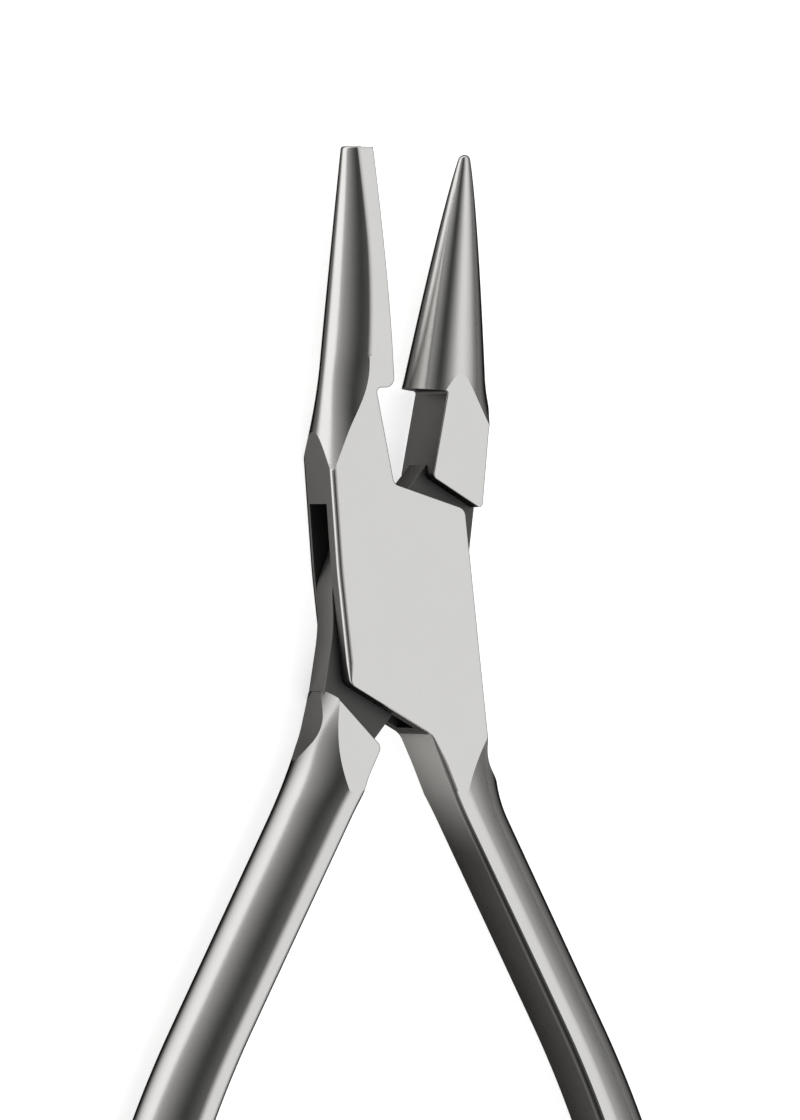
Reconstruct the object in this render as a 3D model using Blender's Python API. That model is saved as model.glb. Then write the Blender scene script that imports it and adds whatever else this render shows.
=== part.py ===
"""Optical pliers with a box joint, lying flat, in the open pose.

The frame has the pivot axis on Z, the rear ground face at Z = 0, the jaws towards +Y and the
handles towards -Y. Each half is made as the real one is: a rounded forging, lofted along Y, is
trimmed by an outline that is ground square through the whole thickness. The arched edges of the
flats come from that trim. Sizes are in millimetres, and each mesh is written in metres.
"""
import math

import bmesh
import bpy

MM = 0.001

# Joint
JOINT_THICKNESS = 8.0
CHEEK_THICKNESS = 1.9
SLOT_CLEARANCE = 0.15
PIN_RADIUS = 2.5
PIN_SEAT_CLEARANCE = 0.05
PIN_RUNNING_CLEARANCE = 0.08
CHEEK_LEFT_TOP = 8.45
CHEEK_LEFT = 7.3
CHEEK_LEFT_BOTTOM = 6.0
CHEEK_RIGHT_TOP = 6.5
CHEEK_RIGHT_BOTTOM = 9.3
CHEEK_TOP = 11.3
CHEEK_RIGHT_SHOULDER = 8.8
CHEEK_BOTTOM = 8.7
CROTCH_DEPTH = 13.7
CROTCH_SIDE = 2.8
SLOT_END = 9.2
SHOULDER_HEIGHT = 12.0
SHOULDER_RIGHT = 8.4
SHOULDER_LEAN = 0.8
ROOT_SHOULDER_TOP = 9.2
ROOT_SHOULDER_LEFT = 8.1
ROOT_SHOULDER_DEPTH = 14.9
SIDE_FLAT_TOP = 17.5
TRIM_MARGIN = 9.0
BLOCK_MARGIN = 0.3

# Jaws
BLUNT_JAW_LENGTH = 45.0
BLUNT_TIP_THICKNESS = 2.9
BLUNT_TIP_WIDTH = 2.8
BLUNT_JAW_TAPER = 0.15
BLUNT_TIP_FACET = 1.7
BLUNT_BASE_FACET = 2.6
BLUNT_FACET_START = 36.0
BLUNT_JAW_ANGLE = math.radians(2.9)
BLUNT_FLAT_PEAK = 24.0
BLUNT_JAW_FLARE = 0.02
BLUNT_BACK_FLARE = 0.006
ROUND_JAW_LENGTH = 44.3
ROUND_TIP_RADIUS = 0.45
ROUND_BASE_RADIUS = 4.15
ROUND_BASE_HEIGHT = 21.2
ROUND_JAW_OFFSET = 3.87
ROUND_JAW_LEAN = math.radians(5.6)
ROUND_JAW_FULLNESS = 0.82
ROUND_JAW_FLARE = 0.03
ROUND_FLARE_START = 22.0
WORKING_FACE_BASE = 20.9
BLUNT_RECESS_DEPTH = 2.0
ROUND_RECESS_WALL = 4.6
CLOSED_JAW_GAP = 0.3
CLOSING_ANGLE = math.radians(12)

# Handles
HANDLE_LENGTH = 95.0
LEFT_HANDLE_WIDTH = 7.5
RIGHT_HANDLE_WIDTH = 6.2
HANDLE_OFFSET = 0.4
HANDLE_THICKNESS = 7.4
HANDLE_FACET = 0.75
HANDLE_EDGE_RADIUS = 0.7
HANDLE_LEAN = math.radians(26.3)
HANDLE_BEND_START = 43.0
HANDLE_GAP_AT_BEND = 33.4
HANDLE_GAP_AT_END = 62.0
HANDLE_END_LEAN = math.radians(8.0)
HANDLE_END_RADIUS = 3.0
HANDLE_FLARE = 0.019
HANDLE_FLARE_START = 26.0
HANDLE_TRIM_END = 20.3
CREASE = math.radians(12)

# Fineness of the facets
ROUND_STEPS = 14
CORNER_STEPS = 3
PIN_SIDES = 32

MID = JOINT_THICKNESS / 2
BEYOND = 2 * HANDLE_LENGTH


def clear_scene():
    """Remove what the scene holds, so that only the pliers are in it."""
    for item in list(bpy.data.objects):
        bpy.data.objects.remove(item, do_unlink=True)


def make_collection(name):
    """Return a new collection linked to the scene."""
    collection = bpy.data.collections.new(name)
    bpy.context.scene.collection.children.link(collection)
    return collection


def steel(name, colour, roughness):
    """Return a metal material with one colour and roughness."""
    material = bpy.data.materials.new(name)
    material.use_nodes = True
    shader = material.node_tree.nodes["Principled BSDF"]
    shader.inputs["Base Color"].default_value = (*colour, 1.0)
    shader.inputs["Metallic"].default_value = 1.0
    shader.inputs["Roughness"].default_value = roughness
    return material


def object_from_bmesh(name, solid, collection):
    """Turn a closed bmesh in millimetres into a named object in metres."""
    bmesh.ops.scale(solid, verts=solid.verts, vec=(MM, MM, MM))
    bmesh.ops.recalc_face_normals(solid, faces=solid.faces)
    mesh = bpy.data.meshes.new(name)
    solid.to_mesh(mesh)
    solid.free()
    item = bpy.data.objects.new(name, mesh)
    collection.objects.link(item)
    return item


def loft(name, rings, collection):
    """Skin a row of rings that have the same number of points, and cap both ends."""
    solid = bmesh.new()
    rows = [[solid.verts.new(point) for point in ring] for ring in rings]
    count = len(rows[0])
    for row, after in zip(rows, rows[1:]):
        for i in range(count):
            j = (i + 1) % count
            solid.faces.new((row[i], row[j], after[j], after[i]))
    solid.faces.new(rows[0])
    solid.faces.new(rows[-1])
    return object_from_bmesh(name, solid, collection)


def rounded(corners):
    """Turn corners (x, y, radius) into points, each corner replaced by an arc."""
    points = []
    for i, (x, y, radius) in enumerate(corners):
        before = corners[i - 1]
        after = corners[(i + 1) % len(corners)]
        if radius == 0:
            points.append((x, y))
            continue
        to_before = math.atan2(before[1] - y, before[0] - x)
        to_after = math.atan2(after[1] - y, after[0] - x)
        turn = (to_after - to_before + math.pi) % math.tau - math.pi
        half = abs(turn) / 2
        room = 0.48 * min(math.dist((x, y), before[:2]), math.dist((x, y), after[:2]))
        radius = min(radius, room * math.tan(half))
        bisector = to_before + turn / 2
        reach = radius / math.sin(half)
        centre_x = x + reach * math.cos(bisector)
        centre_y = y + reach * math.sin(bisector)
        sweep = math.copysign(math.pi - 2 * half, -turn)
        start = bisector + math.pi - sweep / 2
        for k in range(CORNER_STEPS + 1):
            angle = start + sweep * k / CORNER_STEPS
            points.append((centre_x + radius * math.cos(angle), centre_y + radius * math.sin(angle)))
    return points


def prism(name, corners, low, high, collection):
    """Extrude an outline of rounded corners from one height to another."""
    outline = rounded(corners)
    solid = bmesh.new()
    bottom = [solid.verts.new((x, y, low)) for x, y in outline]
    top = [solid.verts.new((x, y, high)) for x, y in outline]
    solid.faces.new(bottom)
    solid.faces.new(top)
    for i in range(len(outline)):
        j = (i + 1) % len(outline)
        solid.faces.new((bottom[i], bottom[j], top[j], top[i]))
    return object_from_bmesh(name, solid, collection)


def round_bar(name, radius, low, high, collection):
    """Make a round bar on the pivot axis."""
    solid = bmesh.new()
    bmesh.ops.create_cone(solid, cap_ends=True, segments=PIN_SIDES, radius1=radius,
                          radius2=radius, depth=high - low)
    bmesh.ops.translate(solid, verts=solid.verts, vec=(0, 0, (low + high) / 2))
    return object_from_bmesh(name, solid, collection)


def combine(item, tool, operation):
    """Put a Boolean on an object and keep the tool as a hidden guide."""
    modifier = item.modifiers.new(f"{operation.lower()} {tool.name}", "BOOLEAN")
    modifier.operation = operation
    modifier.solver = "EXACT"
    modifier.object = tool
    tool.hide_render = True
    tool.display_type = "WIRE"


def spaced(first, last, count):
    """Return evenly spaced values from first to last, both included."""
    return [first + (last - first) * k / (count - 1) for k in range(count)]


def blunt_face(y):
    """Return the place across the tool of the blunt jaw's grip face."""
    return -y * math.tan(BLUNT_JAW_ANGLE) - CLOSED_JAW_GAP / 2


def creased_back(facet, width, height):
    """Return a rounded back as (u, v) points, from one facet's edge round to the other.

    It is a stretched arc that starts at the facet with a slight crease.
    """
    points = []
    for k in range(ROUND_STEPS + 1):
        angle = CREASE + (math.pi - 2 * CREASE) * k / ROUND_STEPS
        share = (math.sin(angle) - math.sin(CREASE)) / (1 - math.sin(CREASE))
        points.append((facet + (width - facet) * share, -height * math.cos(angle) / math.cos(CREASE)))
    return points


def blunt_jaw_ring(y):
    """Return the section of the blunt jaw: a flat face, two facets and a round back."""
    above = max(0.0, y - BLUNT_FLAT_PEAK) / (BLUNT_JAW_LENGTH - BLUNT_FLAT_PEAK)
    below = max(0.0, BLUNT_FLAT_PEAK - y) ** 2
    height = MID - (MID - BLUNT_TIP_THICKNESS / 2) * above ** 1.6 + BLUNT_JAW_FLARE * below
    width = BLUNT_TIP_WIDTH + BLUNT_JAW_TAPER * (BLUNT_JAW_LENGTH - y) + BLUNT_BACK_FLARE * below
    near = min(1.0, max(0.0, (BLUNT_FACET_START - y) / (BLUNT_FACET_START - BLUNT_FLAT_PEAK)))
    facet = BLUNT_TIP_FACET + (BLUNT_BASE_FACET - BLUNT_TIP_FACET) * near ** 1.5
    section = [(0.0, -height)] + creased_back(facet, width, height) + [(0.0, height)]
    return [(blunt_face(y) - u, y, MID + v) for u, v in section]


def round_jaw_ring(y, share=1.0, extra=0.0, turn=0.0):
    """Return the section of the round jaw: a circle, or a share of it at the rounded tip.

    extra widens the circle, and turn swings it about the pivot axis.
    """
    reach = max(0.0, ROUND_JAW_LENGTH - y) / (ROUND_JAW_LENGTH - ROUND_BASE_HEIGHT)
    swell = ROUND_JAW_FLARE * max(0.0, ROUND_FLARE_START - y) ** 2
    full = (ROUND_BASE_RADIUS - ROUND_TIP_RADIUS) * reach ** ROUND_JAW_FULLNESS
    radius = share * (ROUND_TIP_RADIUS + full + swell) + extra
    centre = ROUND_JAW_OFFSET + y * math.tan(ROUND_JAW_LEAN)
    sides = 2 * ROUND_STEPS
    ring = []
    for k in range(sides):
        x = centre + radius * math.cos(math.tau * k / sides)
        ring.append((x * math.cos(turn) - y * math.sin(turn), x * math.sin(turn) + y * math.cos(turn),
                     MID + radius * math.sin(math.tau * k / sides)))
    return ring


def round_jaw_edge(y):
    """Return a place across the tool just inside the mouth, beside the round jaw."""
    return ROUND_JAW_OFFSET + y * math.tan(ROUND_JAW_LEAN) - ROUND_BASE_RADIUS - CLOSED_JAW_GAP


def handle_face(depth):
    """Return how far a handle's inner face lies from the middle, at a depth below the pivot.

    It is a straight line down to the bend, and then a cubic that turns to the lean of the end.
    """
    lean = math.tan(HANDLE_LEAN)
    if depth <= HANDLE_BEND_START:
        return HANDLE_GAP_AT_BEND / 2 - lean * (HANDLE_BEND_START - depth)
    span = HANDLE_LENGTH - HANDLE_BEND_START
    t = (depth - HANDLE_BEND_START) / span
    start = HANDLE_GAP_AT_BEND / 2 * (2 * t ** 3 - 3 * t ** 2 + 1)
    leave = span * lean * (t ** 3 - 2 * t ** 2 + t)
    arrive = span * math.tan(HANDLE_END_LEAN) * (t ** 3 - t ** 2)
    end = HANDLE_GAP_AT_END / 2 * (3 * t ** 2 - 2 * t ** 3)
    return start + leave + arrive + end


def handle_ring(depth, side, share=1.0):
    """Return a handle's section: a flat face with round edges, two narrow facets and a round back.

    side is 1 for the right handle and -1 for the left one. share shrinks the section about its
    middle, for the rounded end.
    """
    swell = HANDLE_FLARE * max(0.0, HANDLE_FLARE_START - depth) ** 2
    height = HANDLE_THICKNESS / 2 + swell
    full_width = RIGHT_HANDLE_WIDTH if side == 1 else LEFT_HANDLE_WIDTH
    edge = HANDLE_EDGE_RADIUS
    section = creased_back(HANDLE_FACET, full_width + swell, height)
    for top in (1, -1):
        for k in range(CORNER_STEPS + 1):
            angle = math.pi / 2 * (k / CORNER_STEPS)
            turn = angle if top == 1 else math.pi / 2 - angle
            section.append((edge - edge * math.sin(turn), top * (height - edge + edge * math.cos(turn))))
    middle = full_width / 2
    inner = handle_face(depth) + side * HANDLE_OFFSET
    return [(side * (inner + middle + share * (u - middle)), -depth, MID + share * v) for u, v in section]


def handle(name, side, root, collection):
    """Loft one handle from its root in the joint to its rounded end."""
    end = HANDLE_LENGTH - HANDLE_END_RADIUS
    rings = [handle_ring(depth, side) for depth in spaced(root, HANDLE_FLARE_START, 7)]
    rings += [handle_ring(depth, side) for depth in spaced(HANDLE_FLARE_START, HANDLE_BEND_START, 4)[1:]]
    rings += [handle_ring(depth, side) for depth in spaced(HANDLE_BEND_START, end, 11)[1:]]
    for angle in spaced(0.0, math.radians(75), 4)[1:]:
        rings.append(handle_ring(end + HANDLE_END_RADIUS * math.sin(angle), side, math.cos(angle)))
    return loft(name, rings, collection)


def outer_outline():
    """Return the ground outline of the outer half, seen from the front."""
    top = BLUNT_JAW_LENGTH + TRIM_MARGIN
    return [
        (blunt_face(top), top, 0),
        (-BEYOND, top, 0),
        (-BEYOND, SIDE_FLAT_TOP + TRIM_MARGIN, 0),
        (-CHEEK_LEFT_TOP - TRIM_MARGIN / 2, SIDE_FLAT_TOP + TRIM_MARGIN, 0),
        (-CHEEK_LEFT_TOP, SIDE_FLAT_TOP, 9),
        (-CHEEK_LEFT, PIN_RADIUS, 60),
        (-CHEEK_LEFT_BOTTOM, -CHEEK_BOTTOM, 1),
        (CROTCH_SIDE, -CROTCH_DEPTH, 2),
        (handle_face(HANDLE_TRIM_END) + HANDLE_OFFSET, -HANDLE_TRIM_END, 0),
        (0, -BEYOND, 0),
        (BEYOND, -BEYOND, 0),
        (CHEEK_RIGHT_BOTTOM + 5, -ROOT_SHOULDER_DEPTH - 7, 0),
        (CHEEK_RIGHT_BOTTOM, -ROOT_SHOULDER_DEPTH - 1.5, 4),
        (CHEEK_RIGHT_TOP, CHEEK_RIGHT_SHOULDER, 1),
        (-1.25, CHEEK_TOP, 0.8),
        (blunt_face(WORKING_FACE_BASE) - BLUNT_RECESS_DEPTH, WORKING_FACE_BASE, 0.5),
        (blunt_face(WORKING_FACE_BASE), WORKING_FACE_BASE, 1),
    ]


def slot_outline():
    """Return the outline of the slot between the cheeks, open to the upper right and lower left."""
    return [
        (-CHEEK_LEFT - 5, SLOT_END - 2.4, 0),
        (-2 * CHEEK_LEFT, -CROTCH_DEPTH, 0),
        (0, -CROTCH_DEPTH - 5, 0),
        (1.2, -CROTCH_DEPTH + 0.3, 0),
        (CHEEK_RIGHT_BOTTOM - 0.9, -SLOT_END + 0.2, 0),
        (2 * CHEEK_LEFT, -SLOT_END + 4, 0),
        (2 * CHEEK_LEFT, CHEEK_TOP, 0),
        (0, CHEEK_TOP + 5, 0),
        (-1.7, CHEEK_TOP + 1, 0),
        (-CHEEK_LEFT - 0.7, SLOT_END, 0),
    ]


def inner_jaw_outline():
    """Return the ground outline of the round jaw and its shoulder."""
    top = ROUND_JAW_LENGTH + TRIM_MARGIN
    return [
        (round_jaw_edge(top), top, 0),
        (round_jaw_edge(WORKING_FACE_BASE), WORKING_FACE_BASE, 0),
        (ROUND_RECESS_WALL, WORKING_FACE_BASE - 0.3, 0.3),
        (ROUND_RECESS_WALL - 1.65, SHOULDER_HEIGHT, 0.6),
        (SHOULDER_RIGHT, SHOULDER_HEIGHT - 3.3, 0.4),
        (SHOULDER_RIGHT + SHOULDER_LEAN, SIDE_FLAT_TOP, 9),
        (SHOULDER_RIGHT + 4, SIDE_FLAT_TOP + TRIM_MARGIN, 0),
        (BEYOND, SIDE_FLAT_TOP + TRIM_MARGIN, 0),
        (BEYOND, top, 0),
    ]


def inner_root_outline():
    """Return the ground outline of the left handle's root."""
    return [
        (-ROOT_SHOULDER_LEFT, -ROOT_SHOULDER_TOP, 0.15),
        (-ROOT_SHOULDER_LEFT - 0.4, -ROOT_SHOULDER_DEPTH + 1.6, 6),
        (-ROOT_SHOULDER_LEFT - 5.2, -ROOT_SHOULDER_DEPTH - 6.5, 0),
        (-BEYOND, -BEYOND, 0),
        (0, -BEYOND, 0),
        (HANDLE_OFFSET - handle_face(HANDLE_TRIM_END), -HANDLE_TRIM_END, 0),
        (-4.0, -ROOT_SHOULDER_DEPTH - 3.0, 4),
        (-2.6, -ROOT_SHOULDER_DEPTH, 0.8),
    ]


def plate_outline():
    """Return the outline of the thin neck plate that passes through the slot."""
    return [
        (3.0, SHOULDER_HEIGHT + 1.2, 0),
        (-1.0, CHEEK_TOP - 2.9, 3),
        (-CHEEK_LEFT + 1.9, CHEEK_TOP - 4.9, 2.5),
        (-CHEEK_LEFT + 0.1, CHEEK_TOP - 10.2, 6),
        (-CHEEK_LEFT + 0.3, -SLOT_END + 6, 30),
        (-CHEEK_LEFT - 0.75, -ROOT_SHOULDER_TOP - 0.5, 0),
        (-CHEEK_LEFT + 0.4, -ROOT_SHOULDER_DEPTH + 0.5, 0),
        (-3.4, -ROOT_SHOULDER_DEPTH - 0.4, 0),
        (-0.6, -CROTCH_DEPTH + 1.9, 2),
        (CHEEK_RIGHT_TOP - 0.2, -SLOT_END + 2.7, 2.5),
        (CHEEK_RIGHT_TOP + 0.7, -SLOT_END + 8.2, 30),
        (SHOULDER_RIGHT, SHOULDER_HEIGHT - 3.0, 0),
        (SHOULDER_RIGHT, SHOULDER_HEIGHT + 1.2, 0),
    ]


def outer_half(parts, cutters):
    """Build the slotted half: the blunt jaw, both cheeks and the right handle.

    The grip face has a hollow that takes the round jaw where it lies when the jaws are closed.
    """
    half = loft("outer_half", [blunt_jaw_ring(y) for y in spaced(9.0, BLUNT_JAW_LENGTH, 15)], parts)
    reach = CHEEK_LEFT + 3
    block_top = CHEEK_TOP + BLOCK_MARGIN
    block_bottom = -CROTCH_DEPTH - BLOCK_MARGIN
    corners = [(-reach, block_top, 0), (-reach, block_bottom, 0), (reach, block_bottom, 0),
               (reach, block_top, 0)]
    block = prism("joint_block", corners, -1, JOINT_THICKNESS + 1, cutters)
    combine(half, block, "UNION")
    combine(half, handle("right_handle", 1, 8.0, cutters), "UNION")
    trim = prism("outer_trim", outer_outline(), 0, JOINT_THICKNESS, cutters)
    combine(half, trim, "INTERSECT")
    hollow_rings = [round_jaw_ring(y, 1.0, CLOSED_JAW_GAP, CLOSING_ANGLE)
                    for y in spaced(WORKING_FACE_BASE - 1, ROUND_JAW_LENGTH, 11)]
    combine(half, loft("grip_hollow", hollow_rings, cutters), "DIFFERENCE")
    slot = prism("slot", slot_outline(), CHEEK_THICKNESS, JOINT_THICKNESS - CHEEK_THICKNESS, cutters)
    combine(half, slot, "DIFFERENCE")
    seat = round_bar("pin_seat", PIN_RADIUS + PIN_SEAT_CLEARANCE, -1, JOINT_THICKNESS + 1, cutters)
    combine(half, seat, "DIFFERENCE")
    return half


def inner_half(parts, cutters):
    """Build the middle half: the round jaw, the neck plate and the left handle."""
    rings = [round_jaw_ring(y) for y in spaced(7.0, ROUND_JAW_LENGTH - 0.35, 13)]
    rings.append(round_jaw_ring(ROUND_JAW_LENGTH - 0.1, 0.75))
    rings.append(round_jaw_ring(ROUND_JAW_LENGTH, 0.4))
    half = loft("inner_half", rings, parts)
    jaw_trim = prism("inner_jaw_trim", inner_jaw_outline(), 0, JOINT_THICKNESS, cutters)
    combine(half, jaw_trim, "INTERSECT")
    low = CHEEK_THICKNESS + SLOT_CLEARANCE
    plate = prism("neck_plate", plate_outline(), low, JOINT_THICKNESS - low, cutters)
    combine(half, plate, "UNION")
    left = handle("left_handle", -1, 8.0, cutters)
    combine(left, prism("inner_root_trim", inner_root_outline(), 0, JOINT_THICKNESS, cutters), "INTERSECT")
    combine(half, left, "UNION")
    bore = round_bar("neck_bore", PIN_RADIUS + PIN_RUNNING_CLEARANCE, -1, JOINT_THICKNESS + 1, cutters)
    combine(half, bore, "DIFFERENCE")
    return half


def main():
    """Build the pliers and dress each piece."""
    clear_scene()
    parts = make_collection("optical_pliers")
    cutters = make_collection("cutters")
    outer = outer_half(parts, cutters)
    inner = inner_half(parts, cutters)
    pin = round_bar("joint_pin", PIN_RADIUS, 0, JOINT_THICKNESS, parts)

    pivot = bpy.data.objects.new("pivot", None)
    parts.objects.link(pivot)
    inner.parent = pivot

    outer.data.materials.append(steel("outer_satin_steel", (0.60, 0.59, 0.57), 0.36))
    inner.data.materials.append(steel("inner_satin_steel", (0.58, 0.57, 0.55), 0.34))
    pin.data.materials.append(steel("ground_pin_steel", (0.62, 0.61, 0.59), 0.30))


main()
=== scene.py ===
"""Looks of the optical pliers: forged rounds, ground flats and a box joint around the CAD frame.

Each half is a rounded forging, computed as rings of points along the tool, which is then trimmed by
a ground outline. The trim leaves arched edges where flats and rounds meet. Sizes are in
millimetres from the pivot axis, and meshes are written in metres.
"""

import logging
import math
from dataclasses import dataclass
from enum import Enum, IntEnum

import bpy
import numpy as np
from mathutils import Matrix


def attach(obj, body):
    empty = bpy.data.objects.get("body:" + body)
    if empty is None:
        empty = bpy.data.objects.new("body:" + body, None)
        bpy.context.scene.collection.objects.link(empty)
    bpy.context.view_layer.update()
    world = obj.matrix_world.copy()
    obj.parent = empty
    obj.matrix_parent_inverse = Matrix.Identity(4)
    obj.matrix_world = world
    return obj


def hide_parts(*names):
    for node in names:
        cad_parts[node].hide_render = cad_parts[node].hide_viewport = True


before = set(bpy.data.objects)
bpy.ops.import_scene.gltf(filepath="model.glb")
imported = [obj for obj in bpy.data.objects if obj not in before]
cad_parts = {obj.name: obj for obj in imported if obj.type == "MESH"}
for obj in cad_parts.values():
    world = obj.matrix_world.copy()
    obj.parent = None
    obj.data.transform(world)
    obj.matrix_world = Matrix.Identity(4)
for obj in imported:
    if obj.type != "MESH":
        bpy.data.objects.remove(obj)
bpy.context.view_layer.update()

MM = 0.001
LOG = logging.getLogger("pliers")

ROUND_STEPS = 6  # chords of a prism's edge round
ARC_SHARE = 0.48  # the most of a corner's shorter side that its arc takes
CORNER_SHARE = 0.8
CORNER_GROWTH = 0.9
SMALLEST_TURN = 1e-6  # radians
SHARP_ANGLE = 32.0  # degrees from which an edge is shaded sharp
BAR_SIDES = 96

Corner = tuple[float, float, float]


class Surface(IntEnum):
    """The finishes on one half, in the order of its material slots."""

    ROUND = 0
    FLAT = 1
    FACET = 2
    # Ground walls, whose dark colour is painted shade.
    WALL = 3
    # Faces inside the slot and the pin's side, whose dark colour is painted shade.
    SLOT = 4
    # The handles' inner faces, whose dark colour is painted shade, made lighter near the joint by painted
    # light.
    INNER = 5
    CROWN = 6


class Cut(Enum):
    """What a tool does to a workpiece."""

    ADD = "UNION"
    KEEP_INSIDE = "INTERSECT"
    REMOVE = "DIFFERENCE"


def mesh_from_rings(name: str, rings: np.ndarray, surfaces: np.ndarray,
                    caps: Surface) -> bpy.types.Object:
    """Skin rings of points into one closed body.

    Args:
        name: The object's name.
        rings: Points in millimetres, shaped (rings, points, 3). Ring i joins ring i + 1.
        surfaces: The finish of each face between two rings, shaped to fit (rings - 1, points).
        caps: The finish of the two end faces.

    Returns:
        The new object, with its faces pointing out.
    """
    count, around = rings.shape[:2]
    index = np.arange(count * around).reshape(count, around)
    following = np.roll(index, -1, axis=1)
    quads = np.stack([index[:-1], following[:-1], following[1:], index[1:]], axis=-1).reshape(-1)
    corners = np.concatenate([quads, index[0, ::-1], index[-1]])
    quad_count = (count - 1) * around
    totals = np.concatenate([np.full(quad_count, 4), [around, around]])
    starts = np.concatenate([[0], np.cumsum(totals)[:-1]])
    mesh = bpy.data.meshes.new(name)
    mesh.vertices.add(count * around)
    mesh.vertices.foreach_set("co", (rings * MM).reshape(-1).astype(np.float32))
    mesh.loops.add(len(corners))
    mesh.loops.foreach_set("vertex_index", corners.astype(np.int32))
    mesh.polygons.add(len(totals))
    mesh.polygons.foreach_set("loop_start", starts.astype(np.int32))
    mesh.polygons.foreach_set("loop_total", totals.astype(np.int32))
    sides = np.broadcast_to(surfaces, (count - 1, around)).reshape(-1)
    finish = np.concatenate([sides, [int(caps), int(caps)]])
    for _ in Surface:
        mesh.materials.append(None)
    mesh.polygons.foreach_set("material_index", finish.astype(np.int32))
    mesh.update(calc_edges=True)
    item = bpy.data.objects.new(name, mesh)
    bpy.context.scene.collection.objects.link(item)
    if signed_volume(mesh) < 0:
        mesh.flip_normals()
    return item


def signed_volume(mesh: bpy.types.Mesh) -> float:
    """Return the volume of a closed mesh: negative where its faces point in."""
    mesh.calc_loop_triangles()
    triangles = np.empty(len(mesh.loop_triangles) * 3, np.int32)
    mesh.loop_triangles.foreach_get("vertices", triangles)
    places = np.empty(len(mesh.vertices) * 3)
    mesh.vertices.foreach_get("co", places)
    a, b, c = places.reshape(-1, 3)[triangles.reshape(-1, 3)].transpose(1, 0, 2)
    return float(np.einsum("ij,ij->i", a, np.cross(b, c)).sum() / 6)


def rounded(corners: list[Corner], steps: int) -> np.ndarray:
    """Return an outline whose corners are arcs.

    Args:
        corners: Corners as (x, y, radius), in order round the outline.
        steps: The chords of each arc.

    Returns:
        Points shaped (n, 2). A corner's arc is tangent to both its sides: its centre lies on the
        bisector, radius / sin(half the corner's angle) from the corner.
    """
    points = []
    for i, (x, y, radius) in enumerate(corners):
        if radius == 0:
            points.append(np.array([[x, y]]))
            continue
        here = np.array([x, y])
        before = np.array(corners[i - 1][:2]) - here
        after = np.array(corners[(i + 1) % len(corners)][:2]) - here
        near = min(np.linalg.norm(before), np.linalg.norm(after))
        before = before / np.linalg.norm(before)
        after = after / np.linalg.norm(after)
        half = math.acos(float(np.clip(before @ after, -1, 1))) / 2
        radius = min(radius, ARC_SHARE * near * math.tan(half))
        centre = here + (before + after) / np.linalg.norm(before + after) * radius / math.sin(half)
        first = here + before * radius / math.tan(half) - centre
        last = here + after * radius / math.tan(half) - centre
        start = math.atan2(first[1], first[0])
        sweep = (math.atan2(last[1], last[0]) - start + math.pi) % math.tau - math.pi
        angles = start + sweep * np.linspace(0, 1, steps + 1)
        points.append(centre + radius * np.stack([np.cos(angles), np.sin(angles)], axis=1))
    return np.concatenate(points)


def inset(outline: np.ndarray, distance: np.ndarray) -> np.ndarray:
    """Return an outline moved inward, each point along the mean of its two edges' normals.

    Args:
        outline: Points shaped (n, 2), in either turning direction.
        distance: How far each point's edges move, shaped (n,).

    Returns:
        The moved points. The step along the mean normal is distance / cos(half the turn).
    """
    edge = np.roll(outline, -1, axis=0) - outline
    normal = np.stack([-edge[:, 1], edge[:, 0]], axis=1)
    normal /= np.linalg.norm(normal, axis=1, keepdims=True)
    area = (outline[:, 0] * np.roll(outline[:, 1], -1) - outline[:, 1] * np.roll(outline[:, 0], -1)).sum()
    normal *= np.sign(area)
    mean = normal + np.roll(normal, 1, axis=0)
    mean /= (mean * mean).sum(axis=1, keepdims=True) / 2
    return outline + mean * distance[:, None]


def spread(outline: np.ndarray, step: float, reach: float) -> np.ndarray:
    """Return an outline with points added on its long straight sides near the tool.

    Args:
        outline: Points shaped (n, 2).
        step: The longest side that is left as it is.
        reach: Sides that start or end farther out than this stay whole.
    """
    points = []
    for here, after in zip(outline, np.roll(outline, -1, axis=0)):
        near = max(np.abs(here).max(), np.abs(after).max()) < reach
        count = max(1, math.ceil(float(np.linalg.norm(after - here)) / step)) if near else 1
        share = np.arange(count)[:, None] / count
        points.append(here + (after - here) * share)
    return np.concatenate(points)


def safe_rounds(outline: np.ndarray, wanted: np.ndarray) -> np.ndarray:
    """Return edge rounds that are nowhere larger than a corner of the outline allows.

    Args:
        outline: Points shaped (n, 2).
        wanted: The wanted radius at each point.

    Returns:
        The lesser of the wanted radius and the corner share of each corner's own radius, which may
        grow by the corner growth times the way from that corner. A corner's own radius is its chord
        over its turn.
    """
    ahead = np.roll(outline, -1, axis=0) - outline
    behind = np.roll(ahead, 1, axis=0)
    length = np.minimum(np.linalg.norm(ahead, axis=1), np.linalg.norm(behind, axis=1))
    cross = behind[:, 0] * ahead[:, 1] - behind[:, 1] * ahead[:, 0]
    turn = np.arctan2(cross, (behind * ahead).sum(axis=1))
    own = CORNER_SHARE * length / np.maximum(np.abs(turn), SMALLEST_TURN)
    apart = np.linalg.norm(outline[:, None] - outline[None], axis=2)
    return np.minimum(wanted, (own[None] + CORNER_GROWTH * apart).min(axis=1))


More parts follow.
